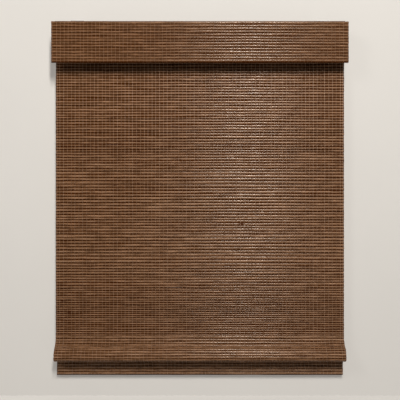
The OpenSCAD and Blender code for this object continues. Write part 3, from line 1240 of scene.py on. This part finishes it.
    def _yarn(self, side: Side, first: int, last: int) -> bpy.types.Object:
        """Models one warp yarn that lies over the reeds of a part and dips between them.

        Args:
            side: The face of the mat that it lies on.
            first: The number of the part's first reed.
            last: The number after its last reed.

        Returns:
            The yarn.
        """
        curve = bpy.data.curves.new("yarn", "CURVE")
        curve.dimensions = "3D"
        curve.bevel_depth = self.sizes.yarn / 2
        curve.bevel_resolution = 0
        curve.use_fill_caps = True
        crest = self.sizes.reed_depth / 2 + self.sizes.yarn * self.sizes.yarn_rise
        dip = self.sizes.yarn_dip
        stops = [(max(self.slots[first].start, 0.0), dip, 1.0, self.yarn_tones[first])]
        for slot, tone in list(zip(self.slots, self.yarn_tones))[first:last]:
            stops.append((slot.middle, crest, 0.0, tone))
            stops.append((min(slot.end, self.path.length), dip, 1.0, tone))
        spline = curve.splines.new("POLY")
        spline.points.add(len(stops) - 1)
        places = np.array([self.path.at(along).offset(0.0, side.value * across)
                           for along, across, _, _ in stops])
        for point, (y, z) in zip(spline.points, places):
            point.co = (0.0, y, z, 1.0)
        yarn = bpy.data.objects.new("yarn", curve)
        bpy.context.collection.objects.link(yarn)
        make_active(yarn)
        bpy.ops.object.convert(target="MESH")
        bpy.ops.object.shade_smooth()
        yarn = bpy.context.object
        reach = points_of(yarn)[:, None, 1:] - places[None]
        nearest = np.argmin((reach ** 2).sum(axis=2), axis=1)
        set_value(yarn, "across", np.array(stops)[nearest, 2])
        set_value(yarn, "tone", np.array(stops)[nearest, 3])
        return yarn

    def build_yarns(self, part: str, side: Side, first: int, last: int) -> bpy.types.Object:
        """Copies the warp yarn across the mat and joins the copies.

        Args:
            part: The part's name.
            side: The face of the mat that the yarns lie on.
            first: The number of the part's first reed.
            last: The number after its last reed.

        Returns:
            The piece.
        """
        sizes = self.sizes
        rng = random.Random(f"{self.seed} yarns")
        yarn = self._yarn(side, first, last)
        tones = value_of(yarn, "tone")
        copies = []
        for line in self._yarn_lines():
            copy = copy_of(yarn)
            points = points_of(copy)
            phase, sway = rng.uniform(0.0, WHOLE_TURN), rng.uniform(*sizes.yarn_sway)
            stray = rng.uniform(-sizes.yarn_stray, sizes.yarn_stray)
            points[:, 0] = (points[:, 0] * sizes.yarn_flat + line + stray
                            + sway * np.sin(phase + sizes.yarn_waves * points[:, 2]))
            set_points(copy, points)
            # Painted light: each yarn's tone follows its place across the width.
            share = np.interp(line / (self.width / 2), sizes.yarn_from, sizes.yarn_share)
            set_value(copy, "tone", tones * share * rng.uniform(*sizes.yarn_shades))
            copies.append(copy)
        discard(yarn)
        return self._keep(join(copies, f"{part}_yarns_{side.name.lower()}"))

    def build(self, part: str, first: int = 0, last: int | None = None) -> list[bpy.types.Object]:
        """Weaves one part of the mat.

        Args:
            part: The part's name.
            first: The number of its first reed.
            last: The number after its last reed, or None for all the rest.

        Returns:
            The part's reeds, laths, front yarns and back yarns.
        """
        last = len(self.slots) if last is None else last
        return [self.build_reeds(part, first, last), self.build_laths(part, first, last),
                *(self.build_yarns(part, side, first, last) for side in Side)]

    def _keep(self, piece: bpy.types.Object) -> bpy.types.Object:
        """Notes a finished piece and seats it on the mat's body.

        Args:
            piece: The piece.

        Returns:
            The same piece.
        """
        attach(piece, self.body)
        self.pieces.append(piece)
        return piece

    def dress(self, palette: Palette) -> None:
        """Gives reeds, laths and yarns their finishes; the laths' near-black finish is painted
        shade.

        Args:
            palette: The shade's materials.
        """
        for piece in self.pieces:
            if piece.name.endswith("_reeds"):
                dress(piece, palette.reeds)
            elif piece.name.endswith("_laths"):
                dress(piece, palette.laths)
            else:
                dress(piece, palette.yarns)


# Sub-assemblies


@dataclass
class DoubledMat:
    """A short mat whose lower edge is turned up behind it, such as the valance and the hem."""

    name: str
    body: str
    back_reeds: int
    seed: int
    tone: float
    yarn_tone: float
    gloss: float
    sizes: WeaveSizes = field(default_factory=WeaveSizes)
    seam_lath: bool = False
    mat_depth: float = 1.8 * MM
    corner: float = 1.2 * MM

    def _path(self, start: PathPoint, front: float, front_reeds: int) -> MatPath:
        """Lays out a path that goes down, round one reed and up again behind.

        Args:
            start: The mat's top edge.
            front: The length of its front layer.
            front_reeds: The number of reeds in the front layer.

        Returns:
            The path.
        """
        step = (front + self.sizes.gap / 2) / front_reeds
        bend = Stretch.arc(self.corner, 90.0)
        return MatPath(start, (Stretch(front), bend, Stretch(step - 2 * bend.length), bend,
                               Stretch(self.back_reeds * step - self.sizes.gap / 2)))

    def build(self, palette: Palette) -> list[bpy.types.Object]:
        """Weaves the mat in place of its solid.

        Args:
            palette: The shade's materials.

        Returns:
            The mat's pieces.
        """
        low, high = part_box(f"{self.name}_mat")
        start = PathPoint(low.y + self.mat_depth / 2, high.z, DOWN)
        front = high.z - low.z - self.corner - self.mat_depth / 2
        front_reeds = round(front / self.sizes.pitch)
        path = self._path(start, front, front_reeds)
        count = front_reeds + 1 + self.back_reeds
        slots = self.sizes.slots(path.length, count, self.seed, self.sizes.gap)
        looks = ([look] * count for look in (self.tone, self.yarn_tone, self.gloss))
        mat = ReedMat(self.body, path, high.x - low.x, slots, *looks, self.seed, self.sizes,
                      self.seam_lath)
        pieces = mat.build(self.name)
        mat.dress(palette)
        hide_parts(f"{self.name}_mat")
        return pieces


@dataclass
class Panel:
    """The hanging mat: a fixed head on the headrail, the long panel and its soft fold."""

    sizes: WeaveSizes = field(default_factory=WeaveSizes)
    mat_depth: float = 1.8 * MM
    joint_gap: float = 0.1 * MM
    fold_forward: float = 36.0 * MM
    fold_lean: float = 60.0
    fold_turn: float = 11.0 * MM
    fold_climb: float = 30.0 * MM
    fold_climb_lean: float = 60.0
    fold_crest: float = 9.0 * MM
    fold_tail: float = 34.0 * MM
    gather_z: float = -85.0 * MM
    eyelet_hole: float = 4.1 * MM
    hole_sides: int = 24
    drill_length: float = 20.0 * MM
    flat_reeds: int = 113
    fold_reeds: int = 23
    tight_share: float = 0.19
    # Reed tone rises from the head to the fold: painted light, lighter lower down to make up for
    # the lamp's weaker light there. The yarns are set darker lower down.
    tones: Triple = (0.42, 0.60, 1.00)
    yarn_tones: Triple = (1.06, 0.62, 0.45)
    glosses: Triple = (1.05, 0.78, 0.60)
    seed: int = 23

    def fold(self) -> tuple[Stretch, ...]:
        """Lays out the fold, from the panel down to the hem.

        Returns:
            The stretches of the fold.
        """
        swing = self.fold_forward / (2 * (1 - math.cos(math.radians(self.fold_lean))))
        sweep = 90.0 + self.fold_climb_lean
        return (Stretch.arc(swing, -self.fold_lean), Stretch.arc(swing, self.fold_lean),
                Stretch.arc(self.fold_turn, sweep), Stretch(self.fold_climb),
                Stretch.arc(self.fold_crest, -sweep), Stretch(self.fold_tail))

    def build(self, palette: Palette, travel: float) -> list[bpy.types.Object]:
        """Weaves the head and the hanging part in place of their solids.

        Args:
            palette: The shade's materials.
            travel: How far the hem rises; not used.

        Returns:
            The pieces of the head and of the hanging part.
        """
        low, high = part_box("shade_mat")
        start = PathPoint(low.y + self.mat_depth / 2, high.z, DOWN)
        flat = high.z - low.z
        fold = self.fold()
        path = MatPath(start, (Stretch(flat + self.joint_gap), *fold))
        bend = sum(stretch.length for stretch in fold)
        slots = self.sizes.slots(flat, self.flat_reeds, self.seed, self.sizes.gap, self.tight_share)
        slots += [slot.shifted(flat + self.joint_gap) for slot in
                  self.sizes.slots(bend, self.fold_reeds, self.seed + 1, self.sizes.fold_gap)]
        middles = [slot.middle for slot in slots]
        # Tones run from head to fold, painted against the lamp's falloff.
        looks = (list(np.interp(middles, (0.0, flat, path.length), ends))
                 for ends in (self.tones, self.yarn_tones, self.glosses))
        mat = ReedMat("frame", path, high.x - low.x, slots, *looks, self.seed, self.sizes)
        head_reeds = sum(1 for slot in slots if high.z - slot.middle > self.gather_z)
        head = mat.build("panel_head", 0, head_reeds)
        hanging = mat.build("panel", head_reeds)
        for piece in head[:2]:
            self._pierce(piece)
        mat.dress(palette)
        for piece in hanging:
            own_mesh(piece)
        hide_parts("shade_mat", "fold_mat")
        return head + hanging

    def _pierce(self, piece: bpy.types.Object) -> None:
        """Cuts the eyelets' holes.

        Args:
            piece: The piece of the head that they go through.
        """
        low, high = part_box("cord_eyelets")
        middle = (low + high) / 2
        reach = (high.x - low.x) / 2 - (high.z - low.z) / 2
        for x in (-reach, 0.0, reach):
            deselect_all()
            bpy.ops.mesh.primitive_cylinder_add(
                vertices=self.hole_sides, radius=self.eyelet_hole, depth=self.drill_length,
                location=(x, middle.y, middle.z), rotation=(QUARTER_TURN, 0.0, 0.0))
            drill = bpy.context.object
            make_active(piece)
            cut = piece.modifiers.new("eyelet", "BOOLEAN")
            cut.operation, cut.solver, cut.object = "DIFFERENCE", "EXACT", drill
            bpy.ops.object.modifier_apply(modifier=cut.name)
            discard(drill)


@dataclass
class RingTies:
    """The turns of yarn that tie each lift ring to the back of the panel."""

    rows: int = 5
    wraps: int = 3
    wire: float = 1.1 * MM
    yarn: float = 0.38 * MM
    wrap_pitch: float = 0.85 * MM
    wrap_sides: int = 16
    yarn_sides: int = 6
    drawn_from: float = 0.2
    drawn_out: float = 0.7 * MM

    def _wrap(self) -> bpy.types.Object:
        """Models one turn of yarn about the X axis, drawn out towards the panel.

        Returns:
            The turn.
        """
        deselect_all()
        bpy.ops.mesh.primitive_torus_add(
            major_radius=self.wire + self.yarn, minor_radius=self.yarn,
            major_segments=self.wrap_sides, minor_segments=self.yarn_sides,
            rotation=(0.0, QUARTER_TURN, 0.0))
        wrap = settled()
        select_none("VERT")
        for vertex in wrap.data.vertices:
            vertex.select = vertex.co.y < -self.drawn_from * self.wire
        bpy.ops.object.mode_set(mode="EDIT")
        bpy.ops.transform.translate(value=(0.0, -self.drawn_out, 0.0))
        bpy.ops.object.mode_set(mode="OBJECT")
        bpy.ops.object.shade_smooth()
        return wrap

    def build(self, palette: Palette) -> list[bpy.types.Object]:
        """Ties every ring.

        Args:
            palette: The shade's materials.

        Returns:
            One piece for each row.
        """
        wrap = self._wrap()
        pieces = []
        for row in range(1, self.rows + 1):
            rng = random.Random(f"ties {row}")
            low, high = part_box(f"ring_row_{row}")
            reach = (high.x - low.x) / 2 - (high.y - low.y) / 2
            copies = []
            for ring in (-reach, 0.0, reach):
                for turn in range(self.wraps):
                    copy = copy_of(wrap)
                    x = ring + (turn - (self.wraps - 1) / 2) * self.wrap_pitch
                    place = np.array((x, low.y + self.wire, (low.z + high.z) / 2))
                    set_points(copy, points_of(copy) + place)
                    set_value(copy, "tone", rng.random())
                    copies.append(copy)
            piece = join(copies, f"ring_ties_{row}")
            dress(piece, palette.yarns)
            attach(piece, f"ring_row_{row}")
            pieces.append(piece)
        discard(wrap)
        return pieces


@dataclass
class Hardware:
    """The rail, the lift parts and the tapes, whose solids are shown as they are."""

    nodes: dict[str, bpy.types.Object]

    def dress(self, palette: Palette) -> list[bpy.types.Object]:
        """Gives every shown solid its finish.

        Args:
            palette: The shade's materials.

        Returns:
            The solids.
        """
        shown = [obj for obj in self.nodes.values() if not obj.hide_render]
        for obj in shown:
            dress(obj, palette.for_node(obj.name))
        return shown


@dataclass
class Studio:
    """The camera, the lights and the pale card behind and below the shade."""

    eye: Triple = (0.0002, -2.063, -0.549)
    lens: float = 60.1
    sensor: float = 36.0
    lamp: Colour = (1.0, 0.97, 0.93)
    key_place: Triple = (0.392, -3.0, 1.50)
    key_size: Size = (0.30, 1.30)
    key_roll: float = 10.0
    key_power: float = 115.0
    side_place: Triple = (-1.9, -2.3, 1.0)
    side_size: Size = (0.8, 0.8)
    side_power: float = 12.5
    back_place: Triple = (-0.8, 3.2, 0.6)
    back_size: Size = (1.2, 1.2)
    back_power: float = 60.0
    room: Colour = (1.0, 0.975, 0.93)
    room_seen: float = 0.66
    fill: float = 0.05
    card: Colour = (0.58, 0.56, 0.53)
    card_y: float = 0.058
    card_z: float = -1.17
    card_reach: float = 8.0

    def build(self) -> None:
        """Sets up the card, the lights and the camera."""
        card = StageFinish(self.card).material("pale_card")
        middle_z = self.card_z + self.card_reach / 2
        self._sheet("backdrop", (0.0, self.card_y, middle_z), (QUARTER_TURN, 0.0, 0.0), card)
        self._sheet("floor", (0.0, self.card_y, self.card_z), UNMOVED, card)
        key = self._light("key_light", self.key_place, self.key_size, self.key_power)
        key.rotation_euler.rotate_axis("Z", math.radians(self.key_roll))
        side = self._light("side_light", self.side_place, self.side_size, self.side_power)
        side.visible_glossy = False
        self._light("back_light", self.back_place, self.back_size, self.back_power)
        self._room()
        self._camera()
        bpy.context.scene.view_settings.view_transform = "Standard"

    def _sheet(self, name: str, place: Triple, turn: Triple, card: bpy.types.Material) -> None:
        """Adds a large sheet of card to the stage.

        Args:
            name: Its name.
            place: Its middle.
            turn: Its turn about each axis.
            card: Its material.
        """
        deselect_all()
        bpy.ops.mesh.primitive_plane_add(size=self.card_reach, location=place, rotation=turn)
        sheet = settled()
        sheet.name = name
        dress(sheet, card)
        sheet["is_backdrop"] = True

    def _room(self) -> None:
        """Makes a pale room that gives little light of its own."""
        world = bpy.data.worlds.new("pale_room")
        world.use_nodes = True
        tree = Tree(world.node_tree)
        dim = world.node_tree.nodes["Background"]
        pale = tree.add("Background")
        for background, strength in ((dim, self.fill), (pale, self.room_seen)):
            tree.feed(background, {"Color": rgba(self.room), "Strength": strength})
        tree.put_out("World Output", tree.add("LightPath").outputs["Is Camera Ray"], dim, pale)
        bpy.context.scene.world = world

    def _light(self, name: str, place: Triple, size: Size, power: float) -> bpy.types.Object:
        """Adds a flat light that shines on the middle of the shade.

        Args:
            name: Its name.
            place: Where it stands.
            size: Its width and height.
            power: Its power in watts.

        Returns:
            The light.
        """
        low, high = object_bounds()
        lamp = bpy.data.lights.new(name, "AREA")
        lamp.shape = "RECTANGLE"
        lamp.size, lamp.size_y = size
        lamp.energy = power
        lamp.color = self.lamp
        light = bpy.data.objects.new(name, lamp)
        light.location = place
        aim = (low + high) / 2 - Vector(place)
        light.rotation_euler = aim.to_track_quat("-Z", "Y").to_euler()
        bpy.context.collection.objects.link(light)
        return light

    def _camera(self) -> None:
        """Adds the camera, level and square to the shade."""
        camera = bpy.data.objects.new("camera", bpy.data.cameras.new("camera"))
        camera.data.lens = self.lens
        camera.data.sensor_width = self.sensor
        camera.location = self.eye
        camera.rotation_euler = (QUARTER_TURN, 0.0, 0.0)
        bpy.context.collection.objects.link(camera)
        bpy.context.scene.camera = camera


def report(pieces: Sequence[bpy.types.Object]) -> None:
    """Logs the name and the size of each piece.

    Args:
        pieces: The pieces.
    """
    for piece in pieces:
        faces = sum(len(face.vertices) - 2 for face in piece.data.polygons)
        LOG.info("%s: %d triangles", piece.name, faces)


def main() -> None:
    """Builds the shade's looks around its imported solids."""
    logging.basicConfig(level=logging.INFO, format="%(name)s %(message)s")
    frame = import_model()
    travel = next(joint["range_m"][1] for joint in frame["joints"] if joint["name"] == "hem_lift")
    palette = Palette()
    # Darker valance reeds and lighter hem reeds: painted light that evens out the lamp's stronger
    # light near the top.
    valance = DoubledMat("valance", "frame", back_reeds=3, seed=11, tone=0.22, yarn_tone=0.18,
                         gloss=0.78, sizes=WeaveSizes(gap=1.9 * MM, tone_spread=0.07,
                                                      tone_drift=0.05))
    hem = DoubledMat("hem", "hem", back_reeds=5, seed=37, tone=0.85, yarn_tone=0.9, gloss=1.0,
                     seam_lath=True, sizes=WeaveSizes(gap=1.1 * MM))
    report(valance.build(palette))
    report(Panel().build(palette, travel))
    report(hem.build(palette))
    report(RingTies().build(palette))
    report(Hardware(frame["nodes"]).dress(palette))
    Studio().build()


if __name__ == "__main__":
    main()
